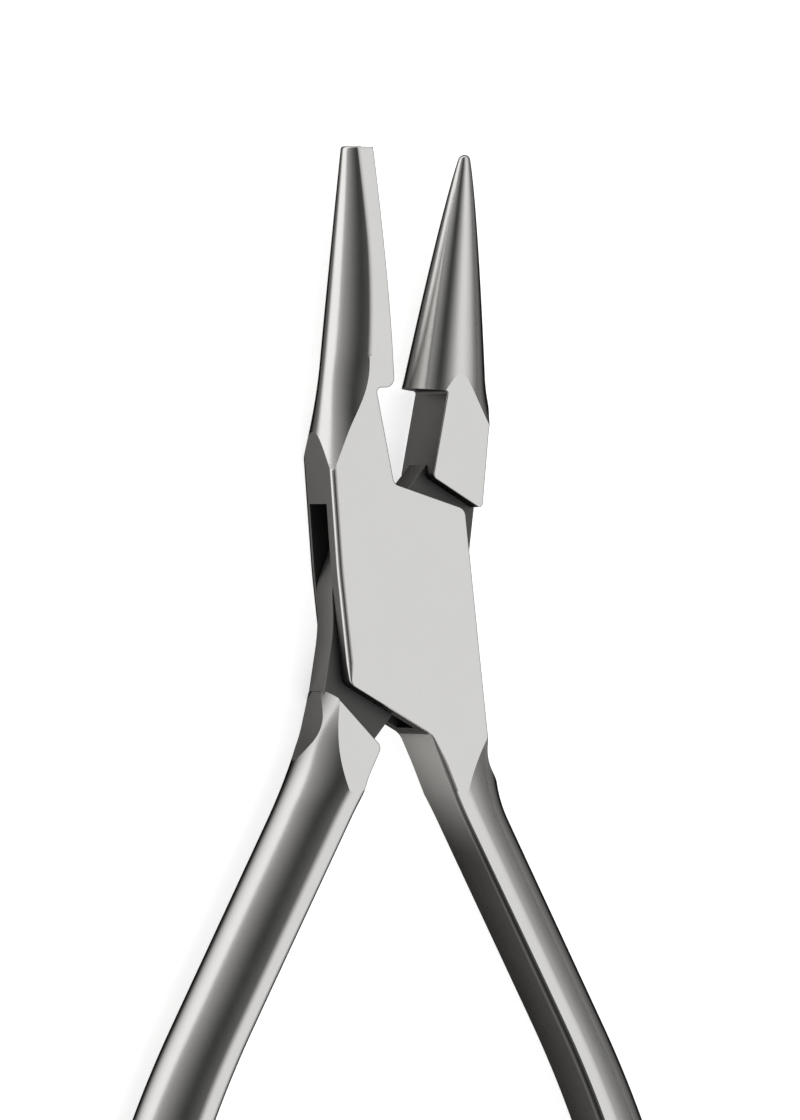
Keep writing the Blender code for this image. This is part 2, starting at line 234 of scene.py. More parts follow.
def prism(name: str, outline: np.ndarray, span: tuple[float, float], rounds: list[np.ndarray],
          side: Surface, cap: Surface, fillet: Surface = Surface.ROUND) -> bpy.types.Object:
    """Extrude an outline along Z, with its edges rounded over.

    Args:
        name: The object's name.
        outline: Points shaped (n, 2).
        span: The heights of the lower and the upper face.
        rounds: The radius of the lower and of the upper edge at each point, or an empty list.
        side: The finish of the walls.
        cap: The finish of the two faces.
        fillet: The finish of the edge rounds.

    Returns:
        The prism. In a round, at angle a from 0 to 90 degrees, the outline is inset by
        radius * (1 - cos a) and lies radius * (1 - sin a) from the face.
    """
    layers = [(outline, np.full(len(outline), z)) for z in span]
    finish = [int(side)]
    if rounds:
        angles = np.radians(np.linspace(90, 0, ROUND_STEPS + 1))
        layers = [(inset(outline, rounds[0] * (1 - math.cos(a))), span[0] + rounds[0] * (1 - math.sin(a)))
                  for a in angles]
        layers += [(inset(outline, rounds[1] * (1 - math.cos(a))), span[1] - rounds[1] * (1 - math.sin(a)))
                   for a in angles[::-1]]
        finish = [int(fillet)] * ROUND_STEPS + [int(side)] + [int(fillet)] * ROUND_STEPS
    rings = np.stack([np.column_stack([flat, z]) for flat, z in layers])
    return mesh_from_rings(name, rings, np.array(finish)[:, None], cap)


def carve(work: bpy.types.Object, tool: bpy.types.Object, cut: Cut) -> None:
    """Apply one Boolean to a workpiece and remove the tool.

    Args:
        work: The object that is changed.
        tool: The object that cuts it, or is joined to it.
        cut: What the tool does.
    """
    modifier = work.modifiers.new("cut", "BOOLEAN")
    modifier.operation = cut.value
    modifier.solver = "EXACT"
    modifier.material_mode = "INDEX"
    modifier.object = tool
    graph = bpy.context.evaluated_depsgraph_get()
    mesh = bpy.data.meshes.new_from_object(work.evaluated_get(graph))
    work.modifiers.clear()
    old = work.data
    work.data = mesh
    bpy.data.meshes.remove(old)
    bpy.data.meshes.remove(tool.data)


def smooth(item: bpy.types.Object) -> None:
    """Shade an object smooth, with a sharp edge at each border of two finishes and each steep edge.

    Args:
        item: The object.
    """
    mesh = item.data
    mesh.shade_smooth()
    mesh.set_sharp_from_angle(angle=math.radians(SHARP_ANGLE))
    edge_of = np.empty(len(mesh.loops), np.int32)
    mesh.loops.foreach_get("edge_index", edge_of)
    finish = np.empty(len(mesh.polygons), np.int32)
    mesh.polygons.foreach_get("material_index", finish)
    total = np.empty(len(mesh.polygons), np.int32)
    mesh.polygons.foreach_get("loop_total", total)
    of_loop = np.repeat(finish, total)
    least = np.full(len(mesh.edges), 99)
    most = np.full(len(mesh.edges), -1)
    np.minimum.at(least, edge_of, of_loop)
    np.maximum.at(most, edge_of, of_loop)
    sharp = np.empty(len(mesh.edges), bool)
    layer = mesh.attributes.get("sharp_edge") or mesh.attributes.new("sharp_edge", "BOOLEAN", "EDGE")
    layer.data.foreach_get("value", sharp)
    layer.data.foreach_set("value", sharp | (least != most))


@dataclass(frozen=True)
class JointSizes:
    """Sizes of the box joint, which both halves share."""

    thickness: float = 8.0
    cheek: float = 1.9
    clearance: float = 0.15
    pin_radius: float = 2.5
    pin_room: float = 0.08
    left_top: float = 8.45
    left: float = 7.3
    left_bottom: float = 6.0
    right_top: float = 6.5
    right_bottom: float = 9.3
    top: float = 11.3
    right_shoulder: float = 8.8
    bottom: float = 8.7
    crotch: float = 13.7
    crotch_side: float = 2.8
    slot_end: float = 9.2
    shoulder: float = 12.0
    shoulder_right: float = 8.4
    shoulder_lean: float = 0.8
    root_top: float = 9.2
    root_left: float = 8.1
    root_depth: float = 14.9
    side_top: float = 17.5
    margin: float = 9.0
    far: float = 190.0

    @property
    def middle(self) -> float:
        """Return the height of the tool's middle plane."""
        return self.thickness / 2


@dataclass(frozen=True)
class HalfRound:
    """A half-round section: an inner face with round edges, two facets and a round back.

    Each size is an array with one row for each section along the tool.
    """

    facet: np.ndarray
    width: np.ndarray
    height: np.ndarray
    edge: np.ndarray
    crease: np.ndarray
    soft: float = 0.4
    back_steps: int = 56
    edge_steps: int = 6

    def points(self) -> tuple[np.ndarray, np.ndarray]:
        """Return the sections' points as u, away from the inner face, and v, off the middle plane.

        The back is a stretched arc that starts and ends at the crease angle c. At angle a its u is
        facet + (width - facet) * (sin a - sin c) / (1 - sin c), and its v is -height * cos a / cos c.
        A narrow soft strip of each facet is shaded together with the back.
        """
        c = self.crease
        a = c + (math.pi - 2 * c) * np.linspace(0, 1, self.back_steps + 1)
        share = (np.sin(a) - np.sin(c)) / (1 - np.sin(c))
        q = np.linspace(0, math.pi / 2, self.edge_steps + 1)
        u = [self.facet - self.soft, self.facet + (self.width - self.facet) * share,
             self.facet - self.soft, self.edge * (1 - np.sin(q)), self.edge * (1 - np.cos(q))]
        v = [-self.height, -self.height * np.cos(a) / np.cos(c), self.height,
             self.height - self.edge * (1 - np.cos(q)), self.edge * (1 - np.sin(q)) - self.height]
        return np.concatenate(u, axis=1), np.concatenate(v, axis=1)

    def surfaces(self, inner: Surface, back: Surface, edge: Surface) -> np.ndarray:
        """Return the finish of each face round the section.

        Args:
            inner: The finish of the inner face.
            back: The finish of the back.
            edge: The finish of the inner face's round edges.
        """
        runs = [(back, self.back_steps + 2), (Surface.FACET, 1), (edge, self.edge_steps), (inner, 1),
                (edge, self.edge_steps), (Surface.FACET, 1)]
        return np.concatenate([np.full(count, int(finish)) for finish, count in runs])


@dataclass(frozen=True)
class HandleShape:
    """A handle: a flat inner face with round edges, a round back and a rounded end."""

    joint: JointSizes
    length: float = 94.89
    left_width: float = 7.47
    right_width: float = 6.17
    offset: float = 0.4
    thickness: float = 7.4
    facet: float = 1.8
    edge: float = 0.65
    edge_at_root: float = 0.5
    edge_growth: float = 22.0
    trim_end: float = 20.3
    crease: float = 30.0
    lean: float = 26.9
    bend: float = 43.0
    gap_at_bend: float = 33.4
    full_length: float = 95.0
    gap_at_end: float = 62.0
    end_lean: float = 8.0
    end_radius: float = 2.9
    flare: float = 0.0325
    flare_start: float = 22.4
    left_width_flare: float = 0.26
    right_width_flare: float = 1.4
    root: float = 8.0
    root_sections: int = 60
    body_sections: int = 90
    end_sections: int = 12
    last_angle: float = 88.0

    def face(self, depth: np.ndarray | float) -> np.ndarray:
        """Return how far the inner face lies from the middle at each depth below the pivot.

        Args:
            depth: Depths in millimetres.

        Returns:
            A straight line down to the bend, then the cubic that has the bend's place and lean at
            its start and the end's place and lean at its end.
        """
        slope = math.tan(math.radians(self.lean))
        straight = self.gap_at_bend / 2 - slope * (self.bend - depth)
        span = self.full_length - self.bend
        t = np.clip((depth - self.bend) / span, 0, 1)
        curve = (self.gap_at_bend / 2 * (2 * t**3 - 3 * t**2 + 1)
                 + span * slope * (t**3 - 2 * t**2 + t)
                 + span * math.tan(math.radians(self.end_lean)) * (t**3 - t**2)
                 + self.gap_at_end / 2 * (3 * t**2 - 2 * t**3))
        return np.where(depth <= self.bend, straight, curve)

    def solid(self, name: str, side: int) -> bpy.types.Object:
        """Return the handle's forging as a closed body.

        The swell towards the joint grows with the square of the way to it, and the width takes a
        share of it. The inner face's edges start sharper at the joint. At the end the sections
        shrink as a quarter circle does.

        Args:
            name: The object's name.
            side: 1 for the right handle and -1 for the left one.
        """
        end = self.length - self.end_radius
        near = np.linspace(self.root, self.flare_start, self.root_sections)
        far = np.linspace(self.flare_start, end, self.body_sections)[1:]
        sweep = np.radians(np.linspace(0, self.last_angle, self.end_sections))[1:]
        depth = np.concatenate([near, far, end + self.end_radius * np.sin(sweep)])[:, None]
        share = np.concatenate([np.ones(len(near) + len(far)), np.cos(sweep)])[:, None]
        swell = self.flare * np.maximum(0, self.flare_start - depth) ** 2
        grown = np.clip((depth - self.trim_end) / self.edge_growth, 0, 1)
        edge = self.edge_at_root + (self.edge - self.edge_at_root) * grown**2 * (3 - 2 * grown)
        right = side == 1
        width = self.right_width if right else self.left_width
        flare = self.right_width_flare if right else self.left_width_flare
        section = HalfRound(np.full_like(depth, self.facet), width + flare * swell,
                            self.thickness / 2 + swell, edge,
                            np.full_like(depth, math.radians(self.crease)))
        u, v = section.points()
        middle = width / 2
        inner = self.face(depth) + side * self.offset
        x = side * (inner + middle + share * (u - middle))
        y = -depth * np.ones_like(x)
        rings = np.stack([x, y, self.joint.middle + share * v], axis=2)
        back = Surface.ROUND if right else Surface.CROWN
        corner = Surface.INNER if right else Surface.ROUND
        return mesh_from_rings(name, rings, section.surfaces(Surface.INNER, back, corner), back)


@dataclass(frozen=True)
class BluntJaw:
    """The left jaw: a flat grip face, a facet on each side and a round back."""

    joint: JointSizes
    length: float = 45.0
    tip_thickness: float = 2.9
    tip_width: float = 2.8
    taper: float = 0.15
    tip_facet: float = 1.7
    base_facet: float = 2.6
    facet_start: float = 36.0
    angle: float = 2.9
    gap: float = 0.3
    flat_peak: float = 24.0
    flare: float = 0.02
    back_flare: float = 0.006
    crease: float = 40.0
    root_crease: float = 12.0
    crease_fade: float = 8.0
    edge: float = 0.12
    tip_edge: float = 0.25
    start: float = 9.0
    thickness_power: float = 1.6
    facet_power: float = 1.5
    root_sections: int = 60
    body_sections: int = 70
    tip_sections: int = 3

    def face(self, y: np.ndarray | float) -> np.ndarray | float:
        """Return the place across the tool of the grip face."""
        return -y * math.tan(math.radians(self.angle)) - self.gap / 2

    def solid(self, name: str) -> bpy.types.Object:
        """Return the jaw's forging, down into the joint.

        The half thickness falls from the joint's to the tip's with a power of the way up, and the
        width falls evenly. Below the peak of the flat both swell with the square of the way down.
        """
        root = np.linspace(self.start, self.flat_peak, self.root_sections)
        body = np.linspace(self.flat_peak, self.length - self.tip_edge, self.body_sections)[1:]
        sweep = np.radians(np.linspace(0, 90, self.tip_sections + 1))[1:]
        y = np.concatenate([root, body, self.length - self.tip_edge * (1 - np.sin(sweep))])[:, None]
        cut_back = self.tip_edge * (1 - np.cos(sweep))
        less = np.concatenate([np.zeros(len(root) + len(body)), cut_back])[:, None]
        above = np.maximum(0, y - self.flat_peak) / (self.length - self.flat_peak)
        below = np.maximum(0, self.flat_peak - y)
        drop = (self.joint.middle - self.tip_thickness / 2) * above**self.thickness_power
        height = self.joint.middle - drop + self.flare * below**2 - less
        width = self.tip_width + self.taper * (self.length - y) + self.back_flare * below**2 - less
        near = np.clip((self.facet_start - y) / (self.facet_start - self.flat_peak), 0, 1)
        facet = self.tip_facet + (self.base_facet - self.tip_facet) * near**self.facet_power
        fade = np.clip(below / self.crease_fade, 0, 1)
        crease = np.radians(self.crease + (self.root_crease - self.crease) * fade**2 * (3 - 2 * fade))
        section = HalfRound(facet, width, height, np.full_like(y, self.edge), crease)
        u, v = section.points()
        x = self.face(y) - u
        rings = np.stack([x, y * np.ones_like(x), self.joint.middle + v], axis=2)
        return mesh_from_rings(name, rings, section.surfaces(Surface.FLAT, Surface.ROUND, Surface.ROUND),
                              Surface.FACET)


@dataclass(frozen=True)
class RoundJaw:
    """The right jaw: a pointed round cone."""

    joint: JointSizes
    length: float = 44.3
    tip_radius: float = 0.45
    base_radius: float = 4.15
    base_height: float = 21.2
    offset: float = 3.87
    lean: float = 5.6
    fullness: float = 0.82
    flare: float = 0.03
    flare_start: float = 22.0
    gap: float = 0.3
    tip_round: float = 0.4
    start: float = 7.0
    sections: int = 130
    tip_sections: int = 9
    last_angle: float = 82.0
    around: int = 96

    def edge(self, y: float) -> float:
        """Return a place across the tool just inside the mouth, beside the cone."""
        return self.offset + y * math.tan(math.radians(self.lean)) - self.base_radius - self.gap

    def solid(self, name: str, start: float, extra: float = 0.0, turn: float = 0.0,
              finish: Surface = Surface.ROUND) -> bpy.types.Object:
        """Return the cone, down into the joint.

        Its radius is the tip's plus a power of the way from the tip, so that the cone is slightly
        full, and it swells with the square of the way to the joint. The last sections shrink to
        round the tip.

        Args:
            name: The object's name.
            start: The height of the first section.
            extra: How much the radius is widened.
            turn: How many degrees the cone is turned about the pivot axis.
            finish: The finish of its surface.
        """
        sweep = np.radians(np.linspace(0, self.last_angle, self.tip_sections))[1:]
        body = np.linspace(start, self.length - self.tip_round, self.sections)
        y = np.concatenate([body, self.length - self.tip_round * (1 - np.sin(sweep))])[:, None]
        share = np.concatenate([np.ones(len(body)), np.cos(sweep)])[:, None]
        reach = np.maximum(0, self.length - y) / (self.length - self.base_height)
        full = (self.base_radius - self.tip_radius) * reach**self.fullness
        swell = self.flare * np.maximum(0, self.flare_start - y) ** 2
        radius = share * (self.tip_radius + full + swell) + extra
        a = np.linspace(0, math.tau, self.around, endpoint=False)
        x = self.offset + math.tan(math.radians(self.lean)) * y + radius * np.cos(a)
        y = y * np.ones_like(x)
        z = self.joint.middle + radius * np.sin(a)
        t = math.radians(turn)
        rings = np.stack([x * math.cos(t) - y * math.sin(t), x * math.sin(t) + y * math.cos(t), z], axis=2)
        return mesh_from_rings(name, rings, np.array([int(finish)]), finish)


@dataclass(frozen=True)
class GroundOutline:
    """The outlines that the halves are ground to, seen from the front."""

    joint: JointSizes
    handle: HandleShape
    blunt: BluntJaw
    pointed: RoundJaw
    base: float = 20.9
    recess: float = 2.0
    recess_wall: float = 4.6
    arc_steps: int = 14
    strip: float = 0.55
    rear_strip: float = 1.5
    edge: float = 0.14
    crotch_edge: float = 0.5
    crotch_right: float = 7.0
    crotch_fade: float = 3.0
    overlap: float = 0.02
    side_fade: float = 0.5
    low_fade: float = 2.0
    high_fade: float = 3.0

    def outer(self) -> np.ndarray:
        """Return the outer half's outline: grip face, side flat, cheek, crotch, handle and recess."""
        j = self.joint
        top = self.blunt.length + j.margin
        end = self.handle.trim_end
        inner = float(self.handle.face(end)) + self.handle.offset
        return rounded([
            (self.blunt.face(top) + self.overlap, top, 0),
            (-j.far, top, 0),
            (-j.far, j.side_top + j.margin, 0),
            (-j.left_top - j.margin / 2, j.side_top + j.margin, 0),
            (-j.left_top, j.side_top, 9),
            (-j.left, j.pin_radius, 60),
            (-j.left_bottom, -j.bottom, 1),
            (j.crotch_side, -j.crotch, 2),
            (inner, -end, 0),
            (0, -j.far, 0),
            (j.far, -j.far, 0),
            (j.right_bottom + 5, -j.root_depth - 7, 0),
            (j.right_bottom, -j.root_depth - 1.5, 4),
            (j.right_top, j.right_shoulder, 1),
            (-1.25, j.top, 0.8),
            (self.blunt.face(self.base) - self.recess, self.base, 0.5),
            (self.blunt.face(self.base) + self.overlap, self.base, 1),
        ], self.arc_steps)

    def slot(self) -> np.ndarray:
        """Return the slot's outline, open to the upper right and the lower left."""
        j = self.joint
        return rounded([
            (-j.left - 5, j.slot_end - 2.4, 0),
            (-2 * j.left, -j.crotch, 0),
            (0, -j.crotch - 5, 0),
            (1.2, -j.crotch + 0.3, 0),
            (j.right_bottom - 0.9, -j.slot_end + 0.2, 0),
            (2 * j.left, -j.slot_end + 4, 0),
            (2 * j.left, j.top, 0),
            (0, j.top + 5, 0),
            (-1.7, j.top + 1, 0),
            (-j.left - 0.7, j.slot_end, 0),
        ], self.arc_steps)

    def inner_jaw(self) -> np.ndarray:
        """Return the outline of the round jaw and its shoulder."""
        j = self.joint
        top = self.pointed.length + j.margin
        return rounded([
            (self.pointed.edge(top), top, 0),
            (self.pointed.edge(self.base), self.base, 0),
            (self.recess_wall, self.base - 0.3, 0.3),
            (self.recess_wall - 1.65, j.shoulder, 0.6),
            (j.shoulder_right, j.shoulder - 3.3, 0.4),
            (j.shoulder_right + j.shoulder_lean, j.side_top, 9),
            (j.shoulder_right + 4, j.side_top + j.margin, 0),
            (j.far, j.side_top + j.margin, 0),
            (j.far, top, 0),
        ], self.arc_steps)

    def inner_root(self) -> np.ndarray:
        """Return the outline of the left handle's root."""
        j = self.joint
        end = self.handle.trim_end
        return rounded([
            (-j.root_left, -j.root_top, 0.15),
            (-j.root_left - 0.4, -j.root_depth + 1.6, 6),
            (-j.root_left - 5.9, -j.root_depth - 6.5, 0),
            (-j.far, -j.far, 0),
            (0, -j.far, 0),
            (self.handle.offset - float(self.handle.face(end)), -end, 0),
            (-4.0, -j.root_depth - 3.0, 4),
            (-2.6, -j.root_depth, 0.8),
        ], self.arc_steps)

    def plate(self) -> np.ndarray:
        """Return the outline of the thin neck plate that passes through the slot."""
        j = self.joint
        return rounded([
            (3.0, j.shoulder + 1.2, 0),
            (-1.0, j.top - 2.9, 3),
            (-j.left + 1.9, j.top - 4.9, 2.5),
            (-j.left + 0.1, j.top - 10.2, 6),
            (-j.left + 0.3, -j.slot_end + 6, 30),
            (-j.left - 0.75, -j.root_top - 0.5, 0),
            (-j.left + 0.4, -j.root_depth + 0.5, 0),
            (-3.4, -j.root_depth - 0.4, 0),
            (-0.6, -j.crotch + 1.9, 2),
            (j.right_top - 0.2, -j.slot_end + 2.7, 2.5),
            (j.right_top + 0.7, -j.slot_end + 8.2, 30),
            (j.shoulder_right, j.shoulder - 3.0, 0),
            (j.shoulder_right, j.shoulder + 1.2, 0),
        ], self.arc_steps)

    def rounds(self, outline: np.ndarray, left: float, low: float, high: float) -> list[np.ndarray]:
        """Return the rear and the front edge round at each point.

        It is wide along the left side, and a little wider below the crotch, where the ground wall
        runs into the handle's inner face.

        Args:
            outline: Points shaped (n, 2).
            left: The wide rounds start on the left of this place.
            low: The height where they start.
            high: The height where they end.
        """
        x, y = outline.T
        wide = (np.clip((left - x) / self.side_fade, 0, 1) * np.clip((y - low) / self.low_fade, 0, 1)
                * np.clip((high - y) / self.high_fade, 0, 1))
        inner = (x > 0) & (x < self.crotch_right)
        below = np.clip((-self.joint.crotch - y) / self.crotch_fade, 0, 1)
        crotch = inner * below * (self.crotch_edge - self.edge)
        return [safe_rounds(outline, self.edge + (strip - self.edge) * wide + crotch)
                for strip in (self.rear_strip, self.strip)]


@dataclass(frozen=True)
class OuterHalf:
    """The slotted half: the blunt jaw, both cheeks and the right handle."""

    outlines: GroundOutline
    margin: float = 0.3
    closing: float = 12.0
    pin_gap: float = 0.001
    crotch_reach: float = 0.9
    block_reach: float = 3.0
    beyond: float = 1.0
    wide_side: float = -4.5
    chord: float = 0.8
    chord_reach: float = 30.0

    def build(self) -> bpy.types.Object:
        """Return the finished half.

        The grip face has a hollow that takes the round jaw where it lies when the jaws are closed.
        """
        o = self.outlines
        j = o.joint
        half = o.blunt.solid("forged_outer_half")
        reach = j.left + self.block_reach
        top = j.top + self.margin
        bottom = -j.crotch - self.margin
        block = np.array([(-reach, top), (-reach, bottom), (reach, bottom), (reach, top)])
        whole = (-self.beyond, j.thickness + self.beyond)
        carve(half, prism("joint_block", block, whole, [], Surface.ROUND, Surface.ROUND), Cut.ADD)
        carve(half, o.handle.solid("right_handle", 1), Cut.ADD)
        outline = spread(o.outer(), self.chord, self.chord_reach)
        rounds = o.rounds(outline, self.wide_side, -j.bottom, j.side_top)
        trim = prism("outer_trim", outline, (0, j.thickness), rounds, Surface.WALL, Surface.FLAT)
        carve(half, trim, Cut.KEEP_INSIDE)
        hollow = o.pointed.solid("grip_hollow", o.base - self.beyond, o.blunt.gap, self.closing,
                                 Surface.FACET)
        carve(half, hollow, Cut.REMOVE)
        inside = (j.cheek, j.thickness - j.cheek)
        carve(half, prism("slot", o.slot(), inside, [], Surface.SLOT, Surface.SLOT), Cut.REMOVE)
        carve(half, round_bar("seat", j.pin_radius + self.pin_gap, whole), Cut.REMOVE)
        self.finish_crotch(half)
        smooth(half)
        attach(half, "outer")
        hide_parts("outer_half")
        return half

    def finish_crotch(self, half: bpy.types.Object) -> None:
        """Give the ground wall above the handle's inner face that face's own finish, and with it that
        face's painted shade.

        Args:
            half: The finished body of the half.
        """
        handle = self.outlines.handle
        centre = np.empty(len(half.data.polygons) * 3)
        half.data.polygons.foreach_get("center", centre)
        x, y, _ = centre.reshape(-1, 3).T / MM
        finish = np.empty(len(half.data.polygons), np.int32)
        half.data.polygons.foreach_get("material_index", finish)
        near = (y < -self.outlines.joint.crotch) & (x < handle.face(-y) + handle.offset + self.crotch_reach)
        ground = (finish == Surface.WALL) | (finish == Surface.ROUND)
        half.data.polygons.foreach_set("material_index", np.where(near & ground, Surface.INNER, finish))


@dataclass(frozen=True)
class InnerHalf:
    """The middle half: the round jaw, the neck plate and the left handle."""

    outlines: GroundOutline
    beyond: float = 1.0
    plate_edge: float = 0.1
    wide_side: float = -7.0
    wide_depth: float = 8.0
    wide_top: float = 0.4
    chord: float = 0.35
    chord_reach: float = 30.0

    def build(self) -> bpy.types.Object:
        """Return the finished half."""
        o = self.outlines
        j = o.joint
        whole = (0, j.thickness)
        half = o.pointed.solid("forged_inner_half", o.pointed.start)
        outline = o.inner_jaw()
        rounds = o.rounds(outline, -j.far, 0, 0)
        carve(half, prism("jaw_trim", outline, whole, rounds, Surface.WALL, Surface.FLAT), Cut.KEEP_INSIDE)
        low = j.cheek + j.clearance
        outline = o.plate()
        rounds = [safe_rounds(outline, np.full(len(outline), self.plate_edge))] * 2
        plate = prism("plate", outline, (low, j.thickness - low), rounds, Surface.WALL, Surface.SLOT,
                      Surface.WALL)
        carve(half, plate, Cut.ADD)
        left = o.handle.solid("left_handle", -1)
        outline = spread(o.inner_root(), self.chord, self.chord_reach)
        low_end = -j.root_depth - self.wide_depth
        rounds = o.rounds(outline, self.wide_side, low_end, -j.root_top + self.wide_top)
        root = prism("root_trim", outline, whole, rounds, Surface.WALL, Surface.FLAT)
        carve(left, root, Cut.KEEP_INSIDE)
        carve(half, left, Cut.ADD)
        through = (-self.beyond, j.thickness + self.beyond)
        carve(half, round_bar("bore", j.pin_radius + j.pin_room, through), Cut.REMOVE)
        smooth(half)
        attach(half, "inner")
        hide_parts("inner_half")
        return half


@dataclass(frozen=True)
class JointPin:
    """The pin, ground flush with both faces of the joint."""

    joint: JointSizes

    def build(self) -> bpy.types.Object:
        """Return the finished pin."""
        pin = round_bar("flush_joint_pin", self.joint.pin_radius, (0, self.joint.thickness))
        smooth(pin)
        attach(pin, "outer")
        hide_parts("joint_pin")
        return pin


def round_bar(name: str, radius: float, span: tuple[float, float]) -> bpy.types.Object:
    """Return a round bar on the pivot axis, its side a circle carried along Z."""
    a = np.linspace(0, math.tau, BAR_SIDES, endpoint=False)
    circle = radius * np.stack([np.cos(a), np.sin(a)], axis=1)
    return prism(name, circle, span, [], Surface.SLOT, Surface.FLAT)


class Nodes:
    """A small helper that adds and links shader nodes."""

    def __init__(self, tree: bpy.types.NodeTree) -> None:
        """Keep the tree that is added to."""
        self.tree = tree

    def add(self, kind: str, **values: object) -> bpy.types.Node:
        """Return a new node with its properties set."""
        node = self.tree.nodes.new(kind)
        for key, value in values.items():
            setattr(node, key, value)
        return node

    def link(self, source: bpy.types.NodeSocket, target: bpy.types.NodeSocket) -> None:
        """Join two sockets."""
        self.tree.links.new(source, target)

    def math(self, operation: str, first: object, second: object = 0.0) -> bpy.types.NodeSocket:
        """Return the result of a Math node on two sockets or numbers."""
        node = self.add("ShaderNodeMath", operation=operation)
        for socket, value in zip(node.inputs, (first, second)):
            if isinstance(value, bpy.types.NodeSocket):
                self.link(value, socket)
            else:
                socket.default_value = value
        return node.outputs[0]

    def ease(self, value: bpy.types.NodeSocket, span: tuple[float, float],
             ends: tuple[float, float]) -> bpy.types.NodeSocket:
        """Return a smooth step from one end value to the other while the value crosses a span."""
        node = self.add("ShaderNodeMapRange", interpolation_type="SMOOTHSTEP")
        for name, number in zip(("From Min", "From Max", "To Min", "To Max"), (*span, *ends)):
            node.inputs[name].default_value = number
        self.link(value, node.inputs["Value"])
        return node.outputs["Result"]


class PolishGroup:
    """The shader group that every steel finish uses: polishing streaks and faint clouds."""

    NAME = "polish_marks"
    INPUTS = {"Across": 9000.0, "Along": 700.0, "Clouds": 180.0}

    @classmethod
    def get(cls) -> bpy.types.NodeTree:
        """Return the group, built on first use.

        Its inputs are a place, how fine the streaks are across and along, and the clouds' scale.
        Its outputs are masks from 0 to 1.
        """
        if cls.NAME in bpy.data.node_groups:
            return bpy.data.node_groups[cls.NAME]
        tree = bpy.data.node_groups.new(cls.NAME, "ShaderNodeTree")
        tree.interface.new_socket("Place", in_out="INPUT", socket_type="NodeSocketVector")
        for name, default in cls.INPUTS.items():
            socket = tree.interface.new_socket(name, in_out="INPUT", socket_type="NodeSocketFloat")
            socket.default_value = default
        for name in ("Streaks", "Haze"):
            tree.interface.new_socket(name, in_out="OUTPUT", socket_type="NodeSocketFloat")
        n = Nodes(tree)
        inside = n.add("NodeGroupInput")
        outside = n.add("NodeGroupOutput")
        scale = n.add("ShaderNodeCombineXYZ")
        n.link(inside.outputs["Across"], scale.inputs["X"])
        n.link(inside.outputs["Along"], scale.inputs["Y"])
        n.link(inside.outputs["Across"], scale.inputs["Z"])
        stretched = n.add("ShaderNodeVectorMath", operation="MULTIPLY")
        n.link(inside.outputs["Place"], stretched.inputs[0])
        n.link(scale.outputs[0], stretched.inputs[1])
        streaks = n.add("ShaderNodeTexNoise")
        streaks.inputs["Scale"].default_value = 1.0
        streaks.inputs["Detail"].default_value = 3.0
        n.link(stretched.outputs[0], streaks.inputs["Vector"])
        n.link(streaks.outputs["Fac"], outside.inputs["Streaks"])
        clouds = n.add("ShaderNodeTexNoise")
        clouds.inputs["Detail"].default_value = 5.0
        clouds.inputs["Roughness"].default_value = 0.6
        n.link(inside.outputs["Place"], clouds.inputs["Vector"])
        n.link(inside.outputs["Clouds"], clouds.inputs["Scale"])
        n.link(clouds.outputs["Fac"], outside.inputs["Haze"])
        return tree


